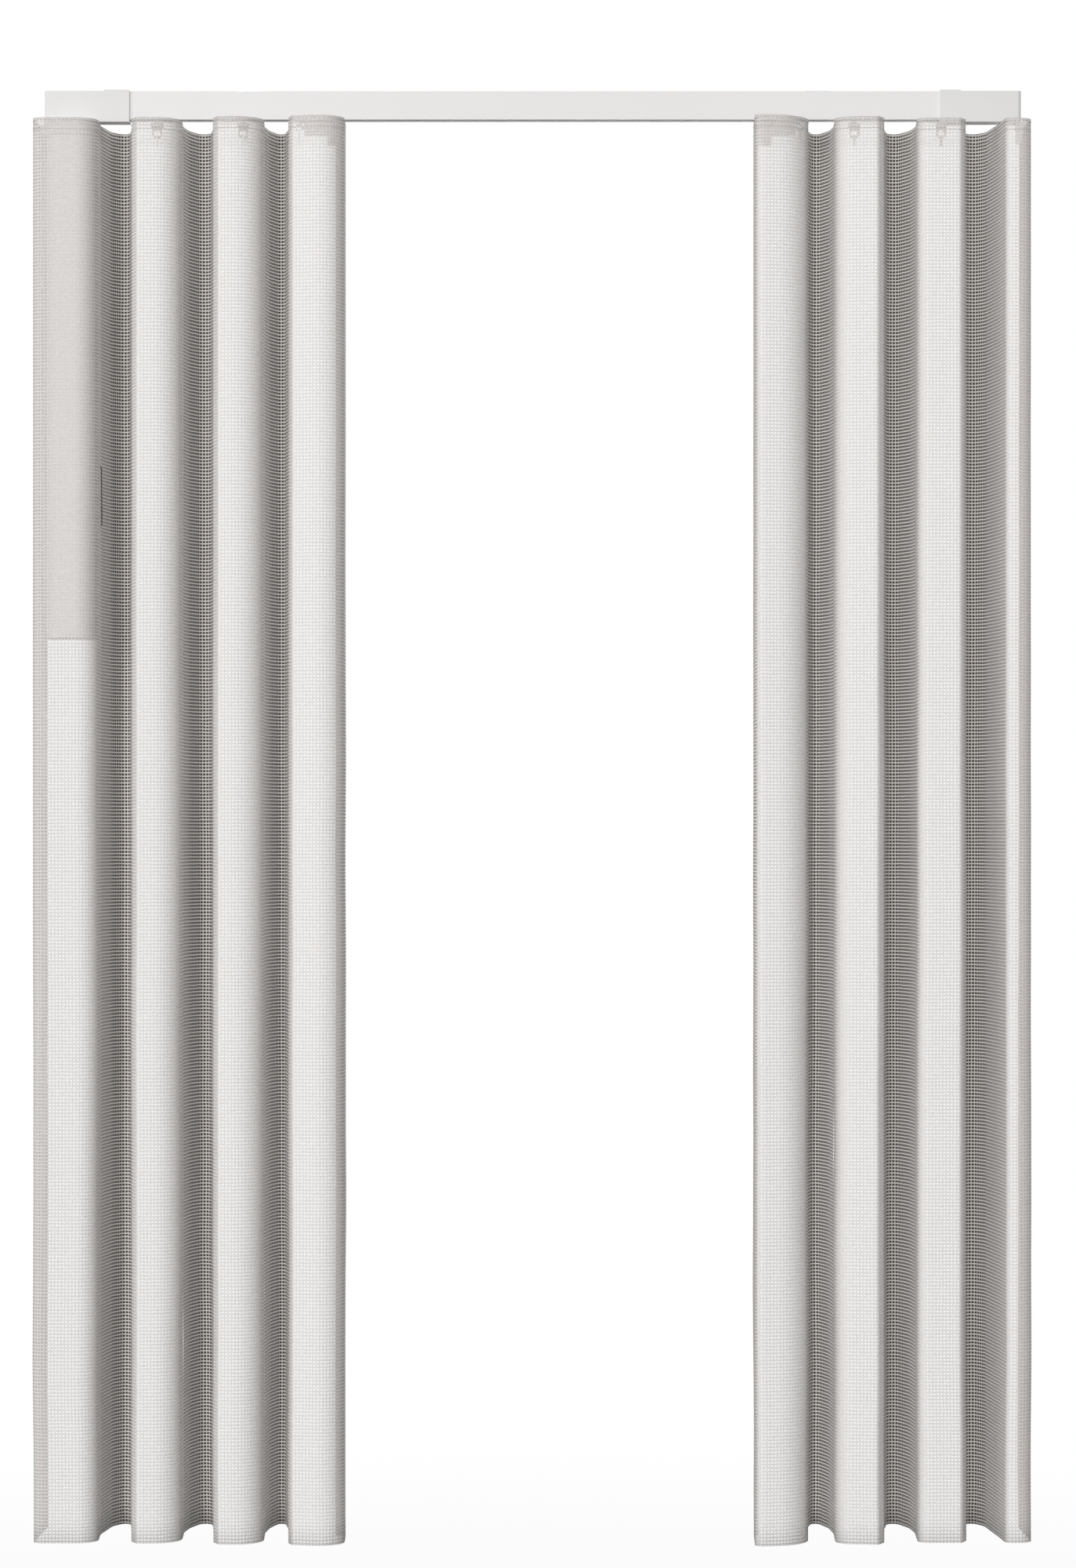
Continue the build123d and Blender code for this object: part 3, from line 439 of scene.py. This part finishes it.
cloth = add(drape, "GeometryNodeStoreNamedAttribute",
            {"Geometry": cloth.outputs[0], "Name": "front", "Value": near.outputs[0]},
            data_type="FLOAT", domain="POINT")
flat_place = add(drape, "ShaderNodeCombineXYZ", {"X": across.outputs[0], "Y": down.outputs[0]})
cloth = add(drape, "GeometryNodeStoreNamedAttribute",
            {"Geometry": cloth.outputs[0], "Name": "UVMap", "Value": flat_place.outputs[0]},
            data_type="FLOAT2", domain="CORNER")
close_tree(drape, cloth.outputs[0], given["Material"], "Cloth")


def run_nodes(tree, name, mesh, values):
    """Runs a node tree on a mesh and gives the plain mesh that comes out, as an object of that name."""
    holder = bpy.data.objects.new(name + "_start", mesh)
    scene.collection.objects.link(holder)
    modifier = holder.modifiers.new("build", "NODES")
    modifier.node_group = tree
    for item in tree.interface.items_tree:
        if item.in_out == "INPUT" and item.name in values:
            modifier[item.identifier] = values[item.name]
    ready = holder.evaluated_get(bpy.context.evaluated_depsgraph_get())
    made = bpy.data.meshes.new_from_object(ready)
    made.name = name
    bpy.data.objects.remove(holder)
    piece = bpy.data.objects.new(name, made)
    scene.collection.objects.link(piece)
    return piece


def plan_mesh(name, corners):
    """The cloth's line seen from above: corners in millimetres, with the radius of each bend."""
    made = bpy.data.meshes.new(name)
    points = [(x / 1000, y / 1000, 0) for x, y, bend in corners]
    made.from_pydata(points, [(start, start + 1) for start in range(len(points) - 1)], [])
    bends = made.attributes.new("bend", "FLOAT", "POINT")
    bends.data.foreach_set("value", [bend / 1000 for x, y, bend in corners])
    return made


# Each width: the body at its outer and inner end, where the stretch between them starts and ends, and its
# line in millimetres as x, y and the bend's radius.
panels = [
    ("left_panel_outer", "track_frame", "left_carrier_1", (-0.527, -0.4965),
     [(-604, 46, 0), (-610, -64, 13), (-529.7, -64, 26), (-532.8, -4, 20), (-532.8, 3, 40),
      (-524, 52, 30), (-513, 66, 12), (-503, 66, 12), (-496, 30, 60), (-489.5, -50, 12),
      (-481.8, -66, 4), (-428, -66, 34), (-431.5, 10, 0)]),
    ("left_panel_middle", "left_carrier_1", "left_carrier_2", (-0.428, -0.396),
     [(-431.5, 10, 0), (-427, 40, 60), (-416, 66, 12), (-402, 66, 12), (-395.5, 30, 60),
      (-389.6, -56, 12), (-382.2, -72, 4), (-327.5, -78, 36), (-331, 10, 0)]),
    ("left_panel_lead", "left_carrier_2", "left_lead", (-0.3275, -0.303),
     [(-331, 10, 0), (-327, 40, 60), (-318, 66, 10), (-309, 66, 10), (-302.5, 30, 60),
      (-297.1, -62, 10), (-292, -76, 5), (-229.5, -90, 30), (-230.5, -3.3, 5), (-242.5, -3.3, 0)]),
    ("right_panel_outer", "track_frame", "right_carrier_1", (0.566, 0.534),
     [(604, 46, 0), (608.7, -61, 18), (576.5, -61, 10), (572.3, -10, 150), (563, 52, 30),
      (552, 66, 12), (540, 66, 12), (533.5, 30, 60), (528.1, -46, 12), (520.6, -61, 4),
      (468.4, -61, 14), (471.9, 10, 0)]),
    ("right_panel_middle", "right_carrier_1", "right_carrier_2", (0.4684, 0.435),
     [(471.9, 10, 0), (467.5, 40, 60), (455, 66, 12), (441.5, 66, 12), (434.5, 30, 60),
      (427.6, -58, 12), (419.2, -74, 4), (368, -68, 22), (370.8, 10, 0)]),
    ("right_panel_lead", "right_carrier_2", "right_lead", (0.368, 0.3365),
     [(370.8, 10, 0), (367.5, 40, 60), (357, 66, 10), (347.5, 66, 10), (339, 36, 50),
      (336.5, 0, 60), (336.5, -78, 48), (269.5, -88, 10), (271.5, -3.3, 3), (277, -3.3, 0)]),
]

# The heading tape is clear woven nylon with ribs 2 mm apart, and bridges each fold behind its carrier.
ribbon_top = -0.055
ribbon_drop = 0.012
ribbon_middle = 0.004
ribbon_columns = 12
ribbons = {
    "left_panel_outer": (-0.4932, -0.4316), "left_panel_middle": (-0.3931, -0.3311),
    "left_panel_lead": (-0.3004, -0.2316), "right_panel_outer": (0.472, 0.5311),
    "right_panel_middle": (0.371, 0.4319), "right_panel_lead": (0.2726, 0.3362),
}
tape, tree, shader, place = new_material("clear_nylon_heading_tape")
rib = add(tree, "ShaderNodeTexWave", {"Vector": place, "Scale": 160.0, "Distortion": 0.6, "Detail": 1.0},
          bands_direction="X")
tone = add(tree, "ShaderNodeMix", {0: rib.outputs["Fac"], 6: linear("#f4f3f1"), 7: linear("#dddbd8")},
           data_type="RGBA")
bump = add(tree, "ShaderNodeBump", {"Height": rib.outputs["Fac"], "Distance": 0.0002, "Strength": 0.6})
feed(tree, shader, Base_Color=tone.outputs[2], Alpha=0.16, Roughness=0.6, Normal=bump.outputs[0])


def heading_ribbon(name, x_low, x_high):
    """The tape across the open back of a fold, where the carrier's hook holds it."""
    shape = bmesh.new()
    rows = []
    for z in (ribbon_top, ribbon_top - ribbon_drop):
        row = []
        for column in range(ribbon_columns + 1):
            x = x_low + (x_high - x_low) * column / ribbon_columns
            row.append(shape.verts.new((x, ribbon_middle, z)))
        rows.append(row)
    top, low = rows
    for column in range(ribbon_columns):
        shape.faces.new((top[column], low[column], low[column + 1], top[column + 1]))
    bmesh.ops.solidify(shape, geom=shape.faces, thickness=cloth_thickness / 2)
    bmesh.ops.recalc_face_normals(shape, faces=shape.faces)
    made = bpy.data.meshes.new(name)
    shape.to_mesh(made)
    shape.free()
    made.materials.append(tape)
    piece = bpy.data.objects.new(name, made)
    scene.collection.objects.link(piece)
    return piece


# Two rows of stitches hold the tape. A real thread is about 0.3 mm thick, drawn thicker so that it shows.
upper_row_drop = 0.003
lower_row_drop = 0.014
thread, tree, shader, place = new_material("white_polyester_sewing_thread")
twist = add(tree, "ShaderNodeTexWave", {"Vector": place, "Scale": 700.0, "Distortion": 1.0},
            bands_direction="DIAGONAL")
tone = add(tree, "ShaderNodeMix", {0: twist.outputs["Fac"], 6: linear("#d9d2cd"), 7: linear("#b9b1ab")},
           data_type="RGBA")
bump = add(tree, "ShaderNodeBump", {"Height": twist.outputs["Fac"], "Distance": 0.0001, "Strength": 0.5})
feed(tree, shader, Base_Color=tone.outputs[2], Roughness=0.6, Normal=bump.outputs[0])

seam, given = node_tree("heading_stitches", {
    "Plan": "Geometry", "Pitch": "Float", "Stitch": "Float", "Thread": "Float", "Upper row": "Float",
    "Lower row": "Float", "Material": "Material"}, "Stitches")
spots = add(seam, "GeometryNodeCurveToPoints",
            {"Curve": rounded_plan(seam, given["Plan"]), "Length": given["Pitch"]}, mode="LENGTH")
along = add(seam, "FunctionNodeAlignRotationToVector", {"Vector": spots.outputs["Tangent"]}, axis="Z")
half_thread = add(seam, "ShaderNodeMath", {0: given["Thread"], 1: 0.5}, operation="MULTIPLY")
stitch = add(seam, "GeometryNodeMeshCylinder",
             {"Vertices": 6, "Radius": half_thread.outputs[0], "Depth": given["Stitch"]})
row = add(seam, "GeometryNodeInstanceOnPoints",
          {"Points": spots.outputs["Points"], "Instance": stitch.outputs[0], "Rotation": along.outputs[0]})
both = add(seam, "GeometryNodeJoinGeometry")
for title in ("Lower row", "Upper row"):
    lift = add(seam, "ShaderNodeCombineXYZ", {"Z": given[title]})
    moved = add(seam, "GeometryNodeTransform", {"Geometry": row.outputs[0], "Translation": lift.outputs[0]})
    seam.links.new(moved.outputs[0], both.inputs[0])
close_tree(seam, both.outputs[0], given["Material"], "Stitches")

draping = {"Drop": cloth_drop, "Step": cloth_step, "Rows": hang_rows, "Depth gain": depth_gain,
           "Sway": sway, "Material": voile}
sewing = {"Pitch": 0.0052, "Stitch": 0.0036, "Thread": 0.001, "Upper row": cloth_top - upper_row_drop,
          "Lower row": cloth_top - lower_row_drop, "Material": thread}
for seed, (name, fixed, moving, (blend_start, blend_end), corners) in enumerate(panels):
    panel = run_nodes(drape, name.replace("panel", "voile"), plan_mesh(name, corners),
                      {**draping, "Seed": float(seed)})
    panel.data.shade_smooth()
    wall = panel.modifiers.new("thickness", "SOLIDIFY")
    wall.thickness = cloth_thickness
    wall.offset = 0.0
    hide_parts(name)
    ribbon = heading_ribbon(name.replace("panel", "ribbon"), *ribbons[name])
    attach(ribbon, moving)
    stitches = run_nodes(seam, name.replace("panel", "stitches"), plan_mesh(name + "_seam", corners), sewing)
    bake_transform(stitches)
    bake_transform(panel)

# Track profile.
# A two-storey aluminium extrusion, cut square and powder coated white.
# The coat's orange peel, about 1 mm across, breaks the highlights up and keeps the long faces satin.

smooth_angle = math.radians(32)
flat_angle = math.radians(0.5)
merge_gap = 0.000002


def softened(name, material, edge):
    """A copy of the CAD piece, merged into clean faces, with the small round that its edges have."""
    shape = bmesh.new()
    shape.from_mesh(frame["nodes"][name].data)
    bmesh.ops.remove_doubles(shape, verts=shape.verts, dist=merge_gap)
    bmesh.ops.dissolve_limit(shape, angle_limit=flat_angle, verts=shape.verts, edges=shape.edges)
    made = bpy.data.meshes.new(name + "_finished")
    shape.to_mesh(made)
    shape.free()
    made.shade_smooth()
    made.set_sharp_from_angle(angle=smooth_angle)
    made.materials.clear()
    made.materials.append(material)
    piece = bpy.data.objects.new(made.name, made)
    scene.collection.objects.link(piece)
    rounding = piece.modifiers.new("rounding", "BEVEL")
    rounding.width = edge
    rounding.segments = 2
    rounding.limit_method = "ANGLE"
    rounding.angle_limit = smooth_angle
    rounding.harden_normals = True
    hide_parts(name)
    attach(piece, next(title for title, body in frame["bodies"].items()
                        if body == frame["nodes"][name].parent))


coat = plain_material("white_powder_coated_aluminium", "#f2f1f1", "#eeeded", patches=9.0, grains=900.0,
                      depth=0.00004, strength=0.25, Roughness=0.48)
softened("track_rail", coat, edge=0.0003)

# End housings, their covers, the motor's socket collar and the return hooks.
# White moulded ABS with the soft edges of a moulding, finely spark textured outside.
# The grains scatter the light, so that the housings look a shade duller than the coated track. They are
# drawn 0.6 mm wide, coarser than real ones, so that they show.

housing_edges = {
    "drive_housing": 0.0012, "idler_housing": 0.0012, "drive_cover": 0.0004, "idler_cover": 0.0004,
    "motor_collar": 0.0022, "left_return_hook": 0.0006, "right_return_hook": 0.0008,
}
abs_white = plain_material("white_moulded_abs", "#ebebeb", "#e7e7e7", patches=14.0, grains=1600.0,
                           depth=0.00004, strength=0.3, Roughness=0.55)
for name, edge in housing_edges.items():
    softened(name, abs_white, edge)

# Screws of the housings' covers.
# Small pan head screws of zinc plated steel with a cross recess, driven up through the covers.
# The plating is bright, and the recess shows dark.

head_height = 0.0011
crown_share = 0.36  # half the crown's width, as a share of the head's
recess_shift = 0.4
proud_share = 0.35
screw_places = (-0.5288, 0.5305, 0.5885)  # along the track

driven = plain_material("zinc_plated_screw", "#c6c8ca", "#aeb1b4", patches=500.0, grains=3000.0,
                        depth=0.00001, Metallic=1.0, Roughness=0.3)

fixing, given = node_tree("cover_screws", {
    "Places": "Geometry", "Head width": "Float", "Head height": "Float", "Recess width": "Float",
    "Recess slot": "Float", "Material": "Material"}, "Screws")
rim = add(fixing, "ShaderNodeMath", {0: given["Head width"], 1: 0.5}, operation="MULTIPLY")
crown = add(fixing, "ShaderNodeMath", {0: given["Head width"], 1: crown_share}, operation="MULTIPLY")
head = add(fixing, "GeometryNodeMeshCone",
           {"Vertices": 24, "Radius Top": rim.outputs[0], "Radius Bottom": crown.outputs[0],
            "Depth": given["Head height"]})
cross = add(fixing, "GeometryNodeJoinGeometry")
for long_way, short_way in (("X", "Y"), ("Y", "X")):
    size = add(fixing, "ShaderNodeCombineXYZ",
               {long_way: given["Recess width"], short_way: given["Recess slot"], "Z": given["Head height"]})
    slot = add(fixing, "GeometryNodeMeshCube", {"Size": size.outputs[0]})
    fixing.links.new(slot.outputs[0], cross.inputs[0])
sunk = add(fixing, "ShaderNodeMath", {0: given["Head height"], 1: -recess_shift}, operation="MULTIPLY")
sunk = add(fixing, "ShaderNodeCombineXYZ", {"Z": sunk.outputs[0]})
cross = add(fixing, "GeometryNodeTransform", {"Geometry": cross.outputs[0], "Translation": sunk.outputs[0]})
screw = add(fixing, "GeometryNodeMeshBoolean", {"Mesh 1": head.outputs[0], "Mesh 2": cross.outputs[0]},
            operation="DIFFERENCE")
screws = add(fixing, "GeometryNodeInstanceOnPoints",
             {"Points": given["Places"], "Instance": screw.outputs[0]})
close_tree(fixing, screws.outputs[0], given["Material"], "Screws")

screw_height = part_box("idler_cover")[0][2] - proud_share * head_height
places = bpy.data.meshes.new("screw_places")
places.from_pydata([(x, 0, screw_height) for x in screw_places], [], [])
screws = run_nodes(fixing, "cover_screws", places, {
    "Head width": 0.0042, "Head height": head_height, "Recess width": 0.0024, "Recess slot": 0.0006,
    "Material": driven})
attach(screws, "track_frame")

# Motor case.
# A drawn aluminium tube with a rounded square section, painted satin white, and the moulded cap below.
# The paint is smoother than the housings, so that the tube takes a long soft highlight.

paint = plain_material("satin_white_painted_tube", "#ebe9e8", "#e6e4e3", patches=7.0, grains=1200.0,
                       depth=0.00002, strength=0.2, Roughness=0.38)
softened("motor_case", paint, edge=0.0004)
softened("motor_bottom_cap", abs_white, edge=0.001)

# Setting button, charge port and aerial bush.
# The button that a finger presses is pale grey acetal and the bush ABS, both moulded and pushed in.
# The port is a shell pressed from nickel plated steel, which looks bright and a little warm.


def wear(name, material):
    """Puts a material on a CAD piece that is shown as it is."""
    owner = frame["nodes"][name]
    if not owner.material_slots:
        owner.data.materials.append(material)
    for holder in owner.material_slots:
        holder.material = material


grey_acetal = plain_material("grey_moulded_acetal", "#d2d3d4", "#c8c9ca", patches=400.0, grains=3000.0,
                             depth=0.00002, Roughness=0.4)
softened("setting_button", grey_acetal, edge=0.0004)
nickel = plain_material("nickel_plated_steel_shell", "#c9c6c0", "#b8b5af", patches=300.0, grains=2600.0,
                        depth=0.00001, Metallic=1.0, Roughness=0.28)
wear("charge_port", nickel)
softened("aerial_bush", abs_white, edge=0.0004)

# Carriers, lead carriers and their belt clamps.
# White acetal mouldings that slide and roll in the track, and clamps of the same pressed on the belt.
# Acetal is a little shiny and lets light in, and is drawn a warm pinkish grey, darker than the coated track.

acetal = plain_material("white_moulded_acetal", "#d3cac5", "#c9c0bb", patches=120.0, grains=2000.0,
                        depth=0.00003, Roughness=0.38, Subsurface_Weight=0.08,
                        Subsurface_Radius=(0.002, 0.0018, 0.0015))
for hand in ("left", "right"):
    for name in ("carrier_1", "carrier_2", "lead_carrier", "belt_clamp"):
        softened(f"{hand}_{name}", acetal, edge=0.0003)

# Wheels.
# Tyres of a harder grey acetal that turn with their axles in the carriers.
# They run polished, and shine a little more than the carriers.

tyre = plain_material("grey_acetal_wheel", "#a7a8a9", "#97989a", patches=500.0, grains=3000.0,
                      depth=0.00002, Roughness=0.34)
for hand in ("left", "right"):
    for name in ("wheels_1", "wheels_2", "lead_wheels_outer", "lead_wheels_inner"):
        wear(f"{hand}_{name}", tyre)

# Hooks between the eyelets and the cloth, and the ceiling clips.
# Bent strips of zinc plated spring steel, hooked through the eyelets and snapped into the track's groove.
# The plating is bright, with a faint cloudiness.

zinc = plain_material("zinc_plated_spring_steel", "#c9cbcd", "#b4b7ba", patches=260.0, grains=1800.0,
                      depth=0.00002, Metallic=1.0, Roughness=0.32)
for hand in ("left", "right"):
    for name in ("hook_1", "hook_2", "lead_hook"):
        softened(f"{hand}_{name}", zinc, edge=0.0002)
wear("ceiling_clips", zinc)

# Belt drive.
# A smooth black rubber belt round toothed pulleys of glass filled nylon, with a fork of zinc plated steel.
# Shaft, pins and screw are turned from bright steel, and the shaft runs in a plain bronze bush.

rubber = plain_material("black_belt_rubber", "#2a2a2a", "#1d1d1d", patches=150.0, grains=900.0,
                        depth=0.00008, Roughness=0.75)
wear("drive_belt", rubber)
filled_nylon = plain_material("glass_filled_nylon", "#54565a", "#45474b", patches=600.0, grains=2200.0,
                              depth=0.00004, Roughness=0.5)
# The motor's top cap and the chassis inside its case are moulded of the same nylon as the pulleys.
for name in ("drive_pulley", "idler_pulley", "motor_top_cap", "inner_chassis"):
    wear(name, filled_nylon)
wear("idler_yoke", zinc)
# The turning marks are drawn 0.35 mm apart, coarser than real ones, so that they show.
turned_steel, tree, shader, place = new_material("turned_bright_steel")
ring = add(tree, "ShaderNodeTexWave", {"Vector": place, "Scale": 900.0, "Distortion": 1.0},
           bands_direction="Z")
bump = add(tree, "ShaderNodeBump", {"Height": ring.outputs["Fac"], "Distance": 0.00001, "Strength": 0.3})
feed(tree, shader, Base_Color=mottled(tree, place, "#b9bcc0", "#a3a6aa", per_metre=300.0), Metallic=1.0,
     Roughness=0.28, Normal=bump.outputs[0])
for name in ("drive_shaft", "idler_axle", "tension_screw", "motor_rotor"):
    wear(name, turned_steel)
bronze = plain_material("sintered_bronze", "#a97e4c", "#8c673d", patches=900.0, grains=4000.0,
                        depth=0.00003, Metallic=1.0, Roughness=0.5)
wear("shaft_bearing", bronze)

# Motor, gearbox, cells and board inside the case.
# The motor and the gearbox sit in drawn zinc plated cans, which are bright with large cloudy patches.
# The cells are wrapped in plain blue shrink film, and the glass fibre board has a glossy green lacquer.

can_zinc = plain_material("zinc_plated_can", "#b7babc", "#9da1a4", patches=70.0, grains=1500.0,
                          depth=0.00002, Metallic=1.0, Roughness=0.38)
for name in ("dc_motor", "gearbox_case"):
    wear(name, can_zinc)
film = plain_material("shrink_film_on_cell", "#3f6f8f", "#345f7c", patches=60.0, grains=400.0,
                      depth=0.00004, Roughness=0.3)
wear("battery_cells", film)
lacquer = plain_material("green_solder_lacquer_on_board", "#2f6a45", "#265a3a", patches=120.0,
                         grains=1500.0, depth=0.00003, Roughness=0.35)
wear("control_board", lacquer)
